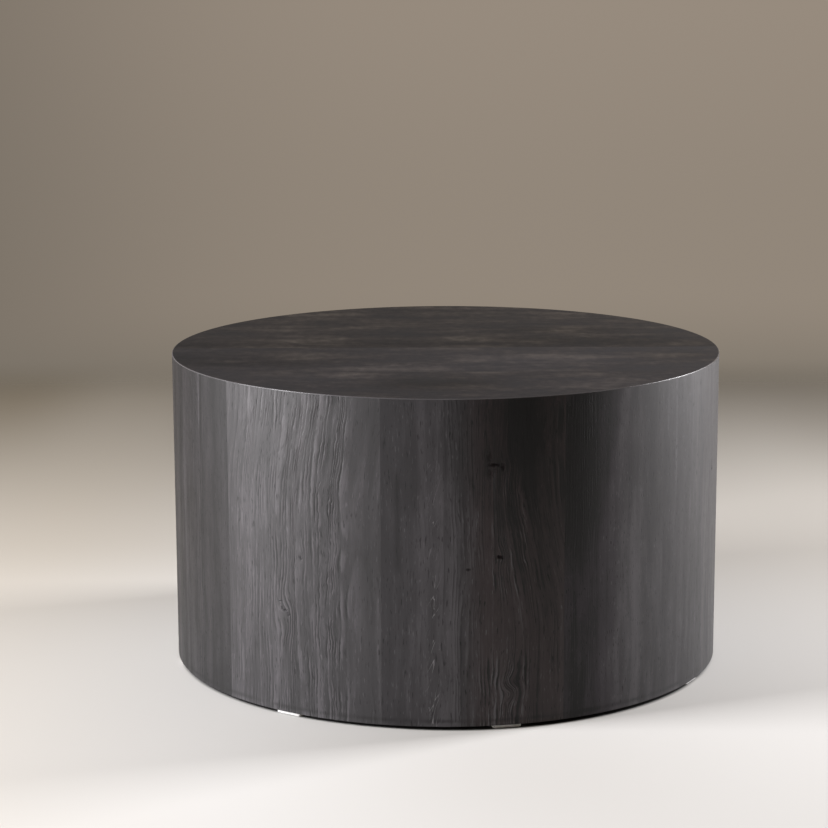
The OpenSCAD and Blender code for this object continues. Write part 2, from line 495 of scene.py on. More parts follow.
def ray_flecks(g, leaf, x, y):
    """Thin pale strokes that lean across the grain, in a band where the cut runs along a ray. They follow the
    level line of a noise."""
    middle, half = leaf.rays
    level = g.grain(g.sub(x, g.mul(y, RAY_LEAN)), y, RAY_LINE, leaf.seed, detail=1.0)
    stroke = g.ramp(g.math("ABSOLUTE", level), 0.004, 0.021, 1.0, 0.0)
    gaps = g.madd(y, -0.0004, g.grain(x, y, RAY_GAPS, leaf.seed))
    repeats, shift = RAY_WANDER
    wander = g.noise(g.mul(y, repeats), leaf.seed + shift)
    off = g.sub(x, g.madd(wander, PUSH_RAYS, middle))
    return g.mul(stroke, g.ramp(gaps, -0.14, -0.06), g.bell(g.mul(off, 1.0 / half)))


def foot_shade_and_highlight(g, y, patch):
    """A thin line of painted shade runs just above the foot, over a painted highlight."""
    pale = g.mul(g.bell(g.mul(g.sub(y, FOOT_HIGHLIGHT_Y), 0.4)), 0.10)
    dark = g.mul(g.bell(g.mul(g.sub(y, FOOT_SHADE_Y), 0.4)), 0.42)
    return g.mul(g.sub(pale, dark), g.ramp(patch, -0.2, 0.1))


def weighted(g, base, layers, weights):
    """A base plus each layer by its weight."""
    return g.add(base, *[g.mul(layers[name], weight) for name, weight in weights.items()])


def oak_tone(g, leaf, layers, area):
    """Tone of the wood without its knots, about 0 to 1."""
    weights = {"ridge": 0.9, "fine": 0.6, "brush": 0.8, "patch": 0.6 * leaf.broad, "band": 0.85 * leaf.broad,
               "flecks": 0.45, "pores": -0.75}
    strands = g.mul(layers["strand"], g.madd(area, 0.85, 0.36 * leaf.broad))
    return g.add(weighted(g, TONE_MIDDLE + leaf.tone, layers, weights), strands)


def oak_rough(g, leaf, layers):
    """Roughness of the wood: hard and pale parts are smoother, and pores and knots rougher."""
    weights = {"brush": -0.20, "strand": -0.14, "band": -0.16 * leaf.broad, "ridge": -0.12, "pores": 0.14,
               "fine": -0.12, "cores": 0.30}
    rough = weighted(g, ROUGH_MIDDLE - 0.05 * leaf.tone, layers, weights)
    if leaf.polish:
        bands = g.add(layers["band"], layers["patch"], g.mul(layers["strand"], 0.5))
        rough = g.madd(bands, -leaf.polish, rough)
    return rough


def oak_relief(g, layers):
    weights = {"ridge": 0.24, "fine": 0.06, "brush": 0.10, "pores": -0.10, "cores": -0.8, "swell": 0.35}
    return weighted(g, 0.0, layers, weights)


def stained(g, leaf, x, tone):
    """Colour of the stained wood at a tone."""
    stain = STAIN_MID
    if leaf.hue:
        left, right, other = leaf.hue
        stain = g.mix(g.ramp(x, left, right), STAIN_MID, other)
    low = g.mix(g.ramp(tone, -0.2, 0.5), STAIN_DEEP, stain)
    return g.mix(g.ramp(tone, 0.4, 1.15), low, STAIN_PALE)


# Insets in millimetres from the rim's edge over which its polish and its painted highlight set in
RIM_POLISH_AND_HIGHLIGHT = (1.4, 0.8)


def rim_polish_and_painted_highlight(g, colour, rough):
    """The eased rim is rubbed smoother, and its pale colour is a painted highlight."""
    px, py, _ = g.place_mm()
    worn = g.noise(g.mul(px, 0.03), g.mul(py, 0.03), 3.0)
    edge = g.ramp(g.hypot(px, py), *[DRUM_R * MM - inset for inset in RIM_POLISH_AND_HIGHLIGHT])
    rough = g.sub(rough, g.mul(edge, g.madd(worn, 0.12, 0.25)))
    return g.mix(g.mul(edge, 0.75), colour, RIM_PAINTED_HIGHLIGHT), rough


def oak(name, leaf):
    """Brushed oak veneer with a black stain, as its leaf was cut."""
    g = Graph(name)
    x0, y = g.map_mm()
    area = figured_area(g, leaf, x0, y)
    x, heart, swell = round_knots(g, leaf, swayed(g, leaf, x0, y, area), x0, y)
    layers = {"ridge": ring_ridge(g, leaf, x, y, area), "swell": swell, "cores": 0.0}
    layers.update(fibre_layers(g, leaf, x, y, area))
    stripes, shine = streaked(g, leaf, x0, y)
    tone = g.add(oak_tone(g, leaf, layers, area), stripes)
    if leaf.knots:
        # Knots are dark, open and matt, with a brushed lip round them
        cores = g.ramp(heart, *KNOT_CORE)
        layers["cores"] = cores
        tone = g.add(tone, g.mul(g.pulse(heart, *KNOT_LIP), layers["brush"], 3.0))
        shine = g.madd(cores, -0.85, shine)
    # Side leaves carry painted shade and a painted highlight just above the foot
    if not leaf.rim:
        tone = g.add(tone, foot_shade_and_highlight(g, y, layers["patch"]))
    tone = g.mul(tone, g.madd(layers["cores"], -0.9, 1.0))
    colour = stained(g, leaf, x0, tone)
    rough = oak_rough(g, leaf, layers)
    if leaf.rays:
        rays = ray_flecks(g, leaf, x0, y)
        colour = g.mix(rays, colour, RAY_PALE)
        rough = g.sub(rough, g.mul(rays, 0.18))
    # The rim is smoother, and it carries a painted highlight
    if leaf.rim:
        colour, rough = rim_polish_and_painted_highlight(g, colour, rough)
    if shine != 1.0:
        g.give("Specular Tint", g.point(shine, shine, shine))
    g.give("Specular IOR Level", leaf.gloss)
    return g.surface(colour, rough, oak_relief(g, layers))


# Bare and finished materials of the frame

# Black of the paint under the frame, and of the shadow painted on the floor under the drum
BLACK_PAINT_AND_SHADOW = rgb(0.012, 0.012, 0.012)
PAINT_TOP = FOOT_Z * MM + 1.5
PAINT_EDGE = 0.6
PAINT_RAGGED = 1.2

BOARD_DARK = rgb(0.23, 0.145, 0.085)
BOARD_LIGHT = rgb(0.37, 0.25, 0.155)
BOARD_SPECK = rgb(0.13, 0.08, 0.05)

PLY_DARK = rgb(0.40, 0.24, 0.13)
PLY_LIGHT = rgb(0.62, 0.43, 0.27)
PLY_PORE = rgb(0.25, 0.14, 0.075)
PLY_BORE = 388.8
PLY_THICK = 5.0
PLY_LAYERS = 3.0
PLY_MIDDLE = (0.28, 0.34, 0.66, 0.72)

PINE_DARK = rgb(0.56, 0.38, 0.20)
PINE_LIGHT = rgb(0.72, 0.54, 0.34)
PINE_LATE = rgb(0.44, 0.23, 0.09)
PINE_RING = 3.6
PINE_PITH = (38.0, 24.0)
LATE_WOOD = (0.45, 0.92, 0.94, 1.0)

BACKER_DARK = rgb(0.010, 0.009, 0.008)
BACKER_LIGHT = rgb(0.050, 0.045, 0.041)
BACKER_SWAY = (0.003, 0.012, 0.0)
BACKER_BAND = (0.06, 0.002, 0.0)
BACKER_FIBRE = (0.9, 0.02, 0.0)
BACKER_PORE = (1.1, 0.06, 4.0)

ZINC_DULL = rgb(0.56, 0.53, 0.44)
ZINC_BRIGHT = rgb(0.74, 0.74, 0.72)
FELT_GREY = rgb(0.66, 0.65, 0.63)
FELT_WHITE = rgb(0.90, 0.90, 0.89)


def foot_paint(g, z, ragged):
    """Share of the black paint that covers the underside, a little ragged where it ran over the edge."""
    height = g.add(z, g.mul(ragged, PAINT_RAGGED))
    return g.ramp(height, PAINT_TOP - PAINT_EDGE, PAINT_TOP + PAINT_EDGE, 1.0, 0.0)


def fibreboard(name):
    g = Graph(name)
    place = g.place_mm()
    mottle = g.solid(place, evenly(0.05), detail=3.0)
    fibres = g.solid(place, evenly(0.9), detail=4.0, roughness=0.7, distortion=1.4)
    specks = g.ramp(g.solid(place, evenly(0.35)), 0.14, 0.24)
    board = g.mix(g.add(0.5, g.mul(mottle, 0.9), g.mul(fibres, 1.3)), BOARD_DARK, BOARD_LIGHT)
    board = g.mix(g.mul(specks, 0.55), board, BOARD_SPECK)
    paint = foot_paint(g, place[2], mottle)
    rough = g.sub(g.add(0.82, g.mul(fibres, 0.2)), g.mul(paint, 0.25))
    relief = g.add(g.mul(fibres, 0.07), g.mul(specks, -0.03))
    return g.surface(g.mix(paint, board, BLACK_PAINT_AND_SHADOW), rough, relief)


def bending_ply(name):
    """Three plies with their grain up the wall; the edges show them as stripes."""
    g = Graph(name)
    place = g.place_mm()
    x, y, z = place
    ply = g.math("FRACT", g.mul(g.sub(g.hypot(x, y), PLY_BORE), PLY_LAYERS / PLY_THICK))
    streak = g.solid(place, (0.35, 0.35, 0.006), detail=3.0, roughness=0.6)
    pore = g.ramp(g.solid(place, (1.0, 1.0, 0.08)), 0.12, 0.22)
    cloud = g.solid(place, (0.02, 0.02, 0.008))
    wood = g.mix(g.add(0.5, g.mul(streak, 1.6), cloud), PLY_DARK, PLY_LIGHT)
    wood = g.mix(g.add(g.mul(g.pulse(ply, *PLY_MIDDLE), 0.35), g.mul(pore, 0.4)), wood, PLY_PORE)
    rough = g.add(0.68, g.mul(streak, 0.25), g.mul(pore, 0.1))
    relief = g.add(g.mul(streak, 0.10), g.mul(pore, -0.08))
    return g.surface(g.mix(foot_paint(g, z, cloud), wood, BLACK_PAINT_AND_SHADOW), rough, relief)


def pine(name, along):
    """Planed pine with its grain along an axis: broad pale rings with thin darker late wood."""
    g = Graph(name)
    place = g.place_mm()
    length = place[along]
    one, two = [place[i] for i in range(3) if i != along]
    lengthwise = (length, one, two)
    sway = g.mul(g.solid(lengthwise, (0.007, 0.01, 0.01)), 14.0)
    off_pith = [g.add(one, sway, PINE_PITH[0]), g.add(two, g.mul(sway, 0.6), PINE_PITH[1])]
    uneven = g.mul(g.solid((one, two, length), (0.05, 0.05, 0.004)), 1.2)
    phase = g.math("FRACT", g.add(g.mul(g.hypot(*off_pith), 1.0 / PINE_RING), uneven))
    late = g.pulse(phase, *LATE_WOOD)
    fibre = g.solid(lengthwise, (0.02, 0.8, 0.8), detail=3.0, roughness=0.65)
    cloud = g.solid(place, evenly(0.012))
    pale = g.mix(g.add(0.5, fibre, cloud), PINE_DARK, PINE_LIGHT)
    rough = g.add(0.58, g.mul(fibre, 0.25), g.mul(late, -0.10))
    relief = g.add(g.mul(late, 0.05), g.mul(fibre, 0.06))
    return g.surface(g.mix(g.mul(late, 0.75), pale, PINE_LATE), rough, relief)


def stained_backer(name):
    """The balancing veneer under the top, stained black and left unpolished, with its grain along X."""
    g = Graph(name)
    x, y, _ = g.place_mm()
    across = g.add(y, g.mul(g.grain(x, y, BACKER_SWAY), 22.0))
    band = g.grain(across, x, BACKER_BAND, detail=3.0)
    fibre = g.grain(across, x, BACKER_FIBRE, detail=3.0, roughness=0.65)
    pore = g.ramp(g.grain(across, x, BACKER_PORE), 0.12, 0.22)
    share = g.add(0.45, g.mul(band, 1.2), fibre, g.mul(pore, -0.5))
    rough = g.add(0.70, g.mul(fibre, 0.2), g.mul(pore, 0.1))
    relief = g.add(g.mul(fibre, 0.06), g.mul(pore, -0.07))
    return g.surface(g.mix(share, BACKER_DARK, BACKER_LIGHT), rough, relief)


def zinc(name):
    g = Graph(name)
    place = g.place_mm()
    cloud = g.solid(place, evenly(0.30), detail=3.0, roughness=0.6)
    grit = g.solid(place, evenly(3.0))
    g.give("Metallic", 1.0)
    colour = g.mix(g.add(0.5, g.mul(cloud, 1.8)), ZINC_DULL, ZINC_BRIGHT)
    return g.surface(colour, g.add(0.36, g.mul(cloud, 0.25), g.mul(grit, 0.12)), g.mul(grit, 0.02))


def white_felt(name):
    g = Graph(name)
    place = g.place_mm()
    matted = g.solid(place, (0.7, 0.7, 0.9), detail=4.0, roughness=0.7, distortion=2.0)
    cloud = g.solid(place, evenly(0.12))
    g.give("Sheen Weight", 0.6)
    colour = g.mix(g.add(0.6, g.mul(matted, 1.1), g.mul(cloud, 0.6)), FELT_GREY, FELT_WHITE)
    return g.surface(colour, g.add(0.92, g.mul(matted, 0.12)), g.mul(matted, 0.35))


def finish_nodes(material, *names):
    """The CAD nodes take a material in all their slots."""
    for name in names:
        mesh = nodes[name].data
        mesh.materials.clear()
        mesh.materials.append(material)


def numbered(stem, count):
    return [f"{stem}_{i}" for i in range(1, count + 1)]


SCREW_NODES = ("top_screws", "stud_screws", "rail_screws")
PADS = numbered("felt_pad", 8)
ZINC = zinc("zinc_plate")
FELT = white_felt("white_felt")
finish_nodes(fibreboard("core_board"), "top_core", "top_ring", "middle_ring", "bottom_ring")
finish_nodes(bending_ply("bending_ply"), *numbered("outer_ply", 2), *numbered("inner_ply", 2))
finish_nodes(pine("pine_upright", 2), *numbered("stud", 8), *numbered("corner_block", 4))
finish_nodes(pine("pine_along_x", 0), "rail_x")
finish_nodes(pine("pine_along_y", 1), "rail_y")
finish_nodes(stained_backer("stained_backer"), "top_backer")
finish_nodes(ZINC, *SCREW_NODES)
finish_nodes(FELT, *PADS)


# Meshes

SMOOTH_LIMIT = 35.0


def link(data, name):
    made = bpy.data.objects.new(name, data)
    bpy.context.scene.collection.objects.link(made)
    return made


def finished(bm, name, limit=SMOOTH_LIMIT):
    """The mesh becomes a piece, smooth across edges below an angle in degrees."""
    bmesh.ops.recalc_face_normals(bm, faces=bm.faces)
    mesh = bpy.data.meshes.new(name)
    bm.to_mesh(mesh)
    bm.free()
    mesh.shade_smooth()
    mesh.set_sharp_from_angle(angle=math.radians(limit))
    return link(mesh, name)


def bridge(bm, rings):
    """Joins each closed ring of points to the next."""
    for near, far in zip(rings, rings[1:]):
        count = len(near)
        for i in range(count):
            j = (i + 1) % count
            bm.faces.new((near[i], near[j], far[j], far[i]))


def quarter(steps):
    """Cosine and sine of the steps of a quarter turn."""
    angles = [math.pi / 2 * i / steps for i in range(steps + 1)]
    return [(math.cos(a), math.sin(a)) for a in angles]


def azimuth_span(node):
    """First azimuth and width of a node of the wall, in radians from the front, growing towards +X."""
    middle = sum((v.co.xy for v in node.data.vertices), Vector((0.0, 0.0)))
    around = math.atan2(middle.x, -middle.y)
    turn = Matrix.Rotation(-around, 2)
    offsets = [turn @ v.co.xy for v in node.data.vertices]
    angles = [math.atan2(p.x, -p.y) for p in offsets]
    return around + min(angles), max(angles) - min(angles)


SIDE_STEPS = 36
ARRIS_STEPS = 4


def side_profile():
    """Radius and height round a side leaf's section, from its inner lower corner, outside first."""
    outline = [(WALL_R, FOOT_Z)]
    outline += [(DRUM_R - FOOT_ROUND + FOOT_ROUND * s, FOOT_Z + FOOT_ROUND - FOOT_ROUND * c)
                for c, s in quarter(ARRIS_STEPS)]
    outline += [(DRUM_R, CORE_TOP_Z), (WALL_R, CORE_TOP_Z)]
    return outline


def unrolled(r, z, off_middle):
    """A point's place on a side leaf's map, in metres. The map goes on over the leaf's top and foot."""
    outwards = 1 if z > CORE_TOP_Z - VENEER else -1
    return off_middle * DRUM_R, z + (DRUM_R - r) * outwards


def side_leaf(node):
    """A bent leaf of veneer. Its map is in metres round the wall from its middle and up from the floor."""
    start, width = azimuth_span(node)
    outline = side_profile()
    bm = bmesh.new()
    uv = bm.loops.layers.uv.new(GRAIN_MAP)
    columns = []
    places = {}
    for i in range(SIDE_STEPS + 1):
        angle = width * i / SIDE_STEPS
        turned = start + angle
        column = []
        for r, z in outline:
            vert = bm.verts.new((r * math.sin(turned), -r * math.cos(turned), z))
            places[vert] = unrolled(r, z, angle - width / 2)
            column.append(vert)
        columns.append(column)
    bridge(bm, columns)
    bm.faces.new(columns[0])
    bm.faces.new(reversed(columns[-1]))
    for face in bm.faces:
        for loop in face.loops:
            loop[uv].uv = places[loop.vert]
    return finished(bm, node.name + "_sheet")


TOP_STEPS = 48
RIM_STEPS = 5
DOUBLE_GAP = 1e-6
DEGENERATE_GAP = 1e-7


def top_profile():
    """Radius and height up the outside of a top leaf, and round the eased rim."""
    outline = [(DRUM_R, CORE_TOP_Z)]
    outline += [(DRUM_R - RIM_ROUND + RIM_ROUND * c, TOP_Z - RIM_ROUND + RIM_ROUND * s)
                for c, s in quarter(RIM_STEPS)]
    return outline


def top_row(bm, r, z, y0, y1):
    """Points of a top leaf's right and left arcs at one height, from its near edge to its far one."""
    first, last = [math.asin(max(-1.0, min(1.0, y / r))) for y in (y0, y1)]
    angles = [first + (last - first) * i / TOP_STEPS for i in range(TOP_STEPS + 1)]
    right = [bm.verts.new((r * math.cos(a), r * math.sin(a), z)) for a in angles]
    left = [bm.verts.new((-r * math.cos(a), r * math.sin(a), z)) for a in angles]
    return right, left


def top_leaf(node):
    """A flat leaf of the top with its share of the rim. Its map is in metres across the grain and along."""
    low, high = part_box(node.name)
    bm = bmesh.new()
    uv = bm.loops.layers.uv.new(GRAIN_MAP)
    rows = [top_row(bm, r, z, low.y, high.y) for r, z in top_profile()]
    for (right, left), (right_up, left_up) in zip(rows, rows[1:]):
        for i in range(TOP_STEPS):
            bm.faces.new((right[i], right[i + 1], right_up[i + 1], right_up[i]))
            bm.faces.new((left[i + 1], left[i], left_up[i], left_up[i + 1]))
    for right, left in (rows[0], rows[-1]):
        for i in range(TOP_STEPS):
            bm.faces.new((left[i], right[i], right[i + 1], left[i + 1]))
    for end in (0, TOP_STEPS):
        bm.faces.new([right[end] for right, left in rows] + [left[end] for right, left in reversed(rows)])
    bmesh.ops.remove_doubles(bm, verts=bm.verts, dist=DOUBLE_GAP)
    bmesh.ops.dissolve_degenerate(bm, edges=bm.edges, dist=DEGENERATE_GAP)
    for face in bm.faces:
        for loop in face.loops:
            loop[uv].uv = (loop.vert.co.y - (low.y + high.y) / 2, loop.vert.co.x)
    return finished(bm, node.name + "_sheet")


PAD_CORNER = 0.0035
PAD_ROUND = 0.0008
PAD_UNEVEN = 0.00012
CORNER_STEPS = 5
PAD_ROUND_STEPS = 3
FELT_SMOOTH = 50.0


def pad_outline(points):
    """A rectangle round the points, with rounded corners, and its middle."""
    x0, x1 = min(p.x for p in points), max(p.x for p in points)
    y0, y1 = min(p.y for p in points), max(p.y for p in points)
    corners = [(x1, y1, 1, 1), (x0, y1, -1, 1), (x0, y0, -1, -1), (x1, y0, 1, -1)]
    outline = []
    for k, (cx, cy, sx, sy) in enumerate(corners):
        for i in range(CORNER_STEPS + 1):
            a = math.pi / 2 * (k + i / CORNER_STEPS)
            outline.append(Vector((cx - sx * PAD_CORNER + PAD_CORNER * math.cos(a),
                                   cy - sy * PAD_CORNER + PAD_CORNER * math.sin(a))))
    return outline, Vector(((x0 + x1) / 2, (y0 + y1) / 2))


def felt_pad(node):
    """A pressed felt pad with rounded corners and soft edges, a little uneven, where its node is."""
    low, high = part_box(node.name)
    start, width = azimuth_span(node)
    around = start + width / 2
    turn = Matrix.Rotation(around, 4, "Z")
    outline, middle = pad_outline([turn.inverted() @ v.co for v in node.data.vertices])
    rows = [(PAD_ROUND * (1 - s), low.z + PAD_ROUND * (1 - c)) for c, s in quarter(PAD_ROUND_STEPS)]
    rows += [(inset, low.z + high.z - z) for inset, z in reversed(rows)]
    bm = bmesh.new()
    rings = []
    for inset, z in rows:
        ring = []
        for i, corner in enumerate(outline):
            away = corner - middle
            uneven = PAD_UNEVEN * (1 + math.sin(2.3 * i + 700.0 * z + 5.0 * around))
            spot = middle + away * (1 - (inset + uneven) / away.length)
            ring.append(bm.verts.new(turn @ Vector((spot.x, spot.y, z))))
        rings.append(ring)
    bridge(bm, rings)
    bm.faces.new(reversed(rings[0]))
    bm.faces.new(rings[-1])
    return finished(bm, node.name + "_felt", FELT_SMOOTH)


SCREW_GAP = 0.012
SCREW_POINTS = 24
SCREW_SMOOTH = 30.0

# Shares of a screw's head radius
HEAD_FACE = 0.97
HEAD_LIP = 0.03
HEAD_DEEP = 0.55
SHANK = 0.5

# The cross recess, in shares of the head radius, and its size at the bottom
CROSS_LONG = 0.60
CROSS_WIDE = 0.13
CROSS_DEEP = 0.55
CROSS_BOTTOM = 0.25

# Shares of a screw's shank radius, and the plain part's share of its length
PLAIN_SHANK = 0.86
THREAD_CREST = 0.99
THREAD_ROOT = 0.70
THREAD_PITCH = 0.9
PLAIN_LENGTH = 0.25
TIP_LENGTH = 2.0
TIP_TAPER = 0.8
TIP_RINGS = 4


def screw_groups(points):
    """The points of each screw of a node. Those of one screw lie within a gap of its first point."""
    groups = []
    for point in points:
        for group in groups:
            if (point.xy - group[0].xy).length < SCREW_GAP:
                group.append(point)
                break
        else:
            groups.append([point])
    return groups


def screw_places(node):
    """Middle, head height, tip height and head radius of each screw of a node. They all stand upright."""
    places = []
    for group in screw_groups([v.co for v in node.data.vertices]):
        box = [(min(p[i] for p in group), max(p[i] for p in group)) for i in range(3)]
        middle = Vector((sum(box[0]) / 2, sum(box[1]) / 2))
        radius = (box[0][1] - box[0][0]) / 2
        head = [p.z for p in group if (p.xy - middle).length > 0.9 * radius][0]
        tip = max(box[2], key=lambda z: abs(z - head))
        places.append((middle, head, tip, radius))
    return places


def circle(radius):
    """The points of a screw's section."""
    turns = [2 * math.pi * i / SCREW_POINTS for i in range(SCREW_POINTS)]
    return [(radius * math.cos(a), radius * math.sin(a)) for a in turns]


def cross_outline(radius, scale):
    """The cross of a screw's recess, in as many points, that starts on an arm's end."""
    a = CROSS_LONG * radius * scale
    b = CROSS_WIDE * radius * (0.5 + 0.5 * scale)
    arm = [(a, 0.0), (a, b), ((a + b) / 2, b), (b, b), (b, (a + b) / 2), (b, a)]
    points = []
    for c, s in ((1, 0), (0, 1), (-1, 0), (0, -1)):
        points += [(c * x - s * y, s * x + c * y) for x, y in arm]
    return points


def thread_rows(shank, start, length):
    """Sections and depths of a rolled thread, from where it starts to near the tip."""
    pitch = shank * THREAD_PITCH
    count = 2 * int((length - start - TIP_LENGTH * shank) / pitch)
    rows = []
    for k in range(count):
        taper = 1.0 if k < count - TIP_RINGS else TIP_TAPER
        share = THREAD_CREST if k % 2 else THREAD_ROOT
        rows.append((circle(shank * taper * share), start + pitch * (k + 1) / 2))
    return rows


def screw(bm, middle, head, tip, radius):
    """A countersunk wood screw with a cross recess and a rolled thread, from its head's height to its tip."""
    down = 1 if tip > head else -1
    shank = radius * SHANK
    length = abs(tip - head)
    plain = radius * HEAD_DEEP + PLAIN_LENGTH * length
    rows = [(cross_outline(radius, CROSS_BOTTOM), CROSS_DEEP * radius), (cross_outline(radius, 1.0), 0.0),
            (circle(radius * HEAD_FACE), 0.0), (circle(radius), HEAD_LIP * radius),
            (circle(shank), HEAD_DEEP * radius), (circle(shank * PLAIN_SHANK), plain)]
    rows += thread_rows(shank, plain, length)
    rings = [[bm.verts.new((middle.x + x, middle.y + y, head + down * depth)) for x, y in points]
             for points, depth in rows]
    bridge(bm, rings)
    bm.faces.new(rings[0])
    point = bm.verts.new((middle.x, middle.y, tip))
    for i in range(SCREW_POINTS):
        bm.faces.new((rings[-1][i], rings[-1][(i + 1) % SCREW_POINTS], point))


def screws(node):
    bm = bmesh.new()
    for place in screw_places(node):
        screw(bm, *place)
    return finished(bm, node.name + "_turned", SCREW_SMOOTH)


def dress(piece, node, material):
    """The piece takes the node's place, body and slot."""
    piece.data.materials.append(material)
    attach(piece, "root")
    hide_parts(node)


# The veneer: side leaves in order round the wall, from the one that holds the front

SIDE_LEAVES = [
    Leaf(heart=-170, depth=26, taper=0.02, ring=5.6, sway=0.7, seed=1.3, gloss=0.40, lip=0.45, plain=0.06,
         broad=0.9, bend=(-30, 120, 350, 10, 60), hue=(-25, 20, STAIN_WARM),
         figured=[Zone(46, 26, 10, 1.15, 180, 360), Zone(42, 34, 16, 1.3, high=100), Zone(48, 92, 40, 0.34)],
         knots=[Knot(20, 376, 5, 12, 26, 46, -0.25, dark=0.50), Knot(27, 365.5, 11, 3, dark=0.80),
                Knot(38, 362.5, 3.8, 6, 14, 16, 0.3, dark=0.65), Knot(21, 354, 5, 8, dark=0.48),
                Knot(29, 362, 14, 12, dark=0.30), Knot(34, 239.5, 5.6, 2.8, 10, 14, 0.5),
                Knot(-8, 223.5, 3.6, 2.2, dark=0.8), Knot(49, 58, 0, 0, 14, 14, 0.3, 0.9)],
         streaks=[Streak(-103, 4.4, -0.42, 220, 350), Streak(-0.5, 2.6, -0.35, 312, 345, -0.20),
                  Streak(-75, 55, 0.19), Streak(-84, 34, -0.16, 330, end=60), Streak(-32, 22, 0.12),
                  # The dark streaks at 92 and 48 across are painted shade between the two lamps' highlights,
                  # deeper up high
                  Streak(92, 40, -0.32, dull=0.13), Streak(92, 50, 0.24, high=220, end=90),
                  Streak(-10, 32, 0.26, high=330, end=60), Streak(48, 40, -0.50, 300, end=70, dull=0.20),
                  Streak(40, 36, -0.08, high=300, end=70)], rays=(-54, 6.5)),
    Leaf(heart=-260, depth=20, taper=0.01, ring=4.5, sway=0.7, seed=12.1, gloss=0.43, plain=0.04, broad=1.2,
         run=1.5, short=1.5, hue=(0, -80, STAIN_PLUM),
         figured=[Zone(-115, 45, 30, 0.22)],
         # The dark streaks at -86 and -108 across are painted shade between the two lamps' highlights
         streaks=[Streak(-86, 42, -0.40, 240, 560, 0.15, 14, 60, 0.06), Streak(-108, 38, -0.42, dull=0.26),
                  Streak(-32, 22, 0.18), Streak(-58, 1.8, -0.20, 20, 380), Streak(59, 3.2, 0.34, 375, end=20),
                  Streak(80, 3, 0.42, 300, end=20), Streak(0, 70, 0.20, high=270, end=90),
                  Streak(45, 22, -0.12, 320, end=60), Streak(-74, 26, -0.22, high=180, end=60, dull=0.10)]),
    Leaf(heart=180, depth=30, taper=0.03, sway=0.8, seed=21.7,
         figured=[Zone(60, 45, 30, 0.65)],
         knots=[Knot(-35, 300, 3, 4, part=0.5)]),
    Leaf(heart=10, depth=12, taper=0.05, ring=4.8, sway=1.1, seed=35.2,
         figured=[Zone(5, 60, 40, 0.65)],
         knots=[Knot(-20, 140, 5, 3.5, part=0.5)]),
    Leaf(heart=-200, depth=15, taper=0.02, ring=4.4, sway=0.8, tone=0.04, seed=44.9,
         figured=[Zone(-70, 30, 30, 0.8)], rays=(40, 8)),
    Leaf(heart=35, depth=10, taper=-0.05, tone=-0.04, seed=53.4,
         figured=[Zone(35, 55, 30, 0.8)],
         knots=[Knot(40, 300, 7, 5, 14, 34, 0.6), Knot(52, 286, 3, 2)]),
    Leaf(heart=230, depth=25, taper=0.01, sway=0.7, seed=61.8,
         figured=[Zone(80, 30, 30)],
         streaks=[Streak(-40, 16, -0.2)]),
    Leaf(heart=-30, depth=9, taper=0.06, ring=4.6, tone=-0.03, seed=72.5,
         figured=[Zone(-30, 60, 40, 0.8)]),
    Leaf(heart=150, depth=25, taper=0.02, ring=4.5, sway=0.8, tone=-0.30, seed=83.6, gloss=0.46, plain=0.05,
         broad=1.3, run=1.6, short=1.6,
         figured=[Zone(40, 20, 20, 0.3)],
         streaks=[Streak(96, 18, -0.15), Streak(-14, 16, 0.34, 140, 330, end=60),
                  Streak(67, 14, -0.14, high=170, end=60), Streak(56, 2.8, -0.50, 340, lean=0.04, end=20),
                  Streak(49, 3, 0.30, 380, end=20)]),
    Leaf(heart=96, depth=34, taper=0.01, ring=5.2, sway=0.7, ripple=1.2, tone=0.05, seed=91.2, gloss=0.58,
         plain=0.25, bend=(20, 290, 470, -700, -600),
         figured=[Zone(20, 60, 14, 0.95), Zone(50, 24, 20, 1.3), Zone(-40, 70, 60, 0.6)],
         knots=[Knot(-19, 150, 5, 3, 14, 34, 0.5, 0.4, 0.62), Knot(-13, 145, 2.6, 5, dark=0.55),
                Knot(-24, 153, 2.4, 4, dark=0.55), Knot(-26, 162, 5.5, 1.8, dark=0.5),
                Knot(8, 227, 3, 5, 8, 18, 0.5, dark=0.6)],
         streaks=[Streak(-13, 3.5, -0.35, 0, 142, -0.10), Streak(-30.5, 2.4, -0.45, 190, 285),
                  Streak(27, 10, -0.14, 340), Streak(1, 15, -0.16), Streak(42, 18, 0.24, high=260, end=70),
                  Streak(-112, 14, 0.14, high=200, end=60), Streak(-60, 44, 0.22, 140, 330, end=60),
                  Streak(6, 15, -0.12, 340, end=50)]),
]


def top_cut(**own):
    """A leaf of the top: hardly any rings, long fibres and soft, short, wide bands."""
    return Leaf(plain=0.03, wide=2.8, short=5.5, fibre=0.8, polish=0.45, rim=True, **own)


ALL_COOL = (-900, -800, STAIN_COOL)

